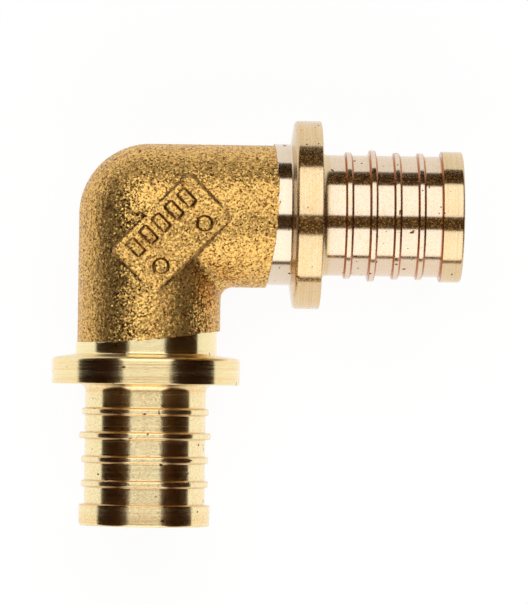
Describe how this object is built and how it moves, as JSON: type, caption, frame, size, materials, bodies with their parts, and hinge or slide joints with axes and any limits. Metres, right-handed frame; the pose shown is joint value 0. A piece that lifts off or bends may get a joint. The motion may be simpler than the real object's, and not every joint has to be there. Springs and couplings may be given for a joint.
{
  "type": "pex crimp fitting",
  "caption": "Right-angle brass elbow with a cast bend and two turned spigots, each with a stop collar, ribs and an end band, for plastic pipe crimped over it.",
  "frame": {"origin": "where the centrelines of the two bores cross, in the middle of the bend", "axes": "+X out of one mouth along its bore, -Y out of the other mouth along its bore, +Z square to both, on the side of the bend that carries the raised pad"},
  "size_m": [0.0533, 0.0533, 0.0246],
  "materials": {
    "brass": "grit-blasted casting in the bend, bright turned metal on both ends"
  },
  "bodies": {
    "root": {"elbow_body": "brass"}
  },
  "joints": []
}
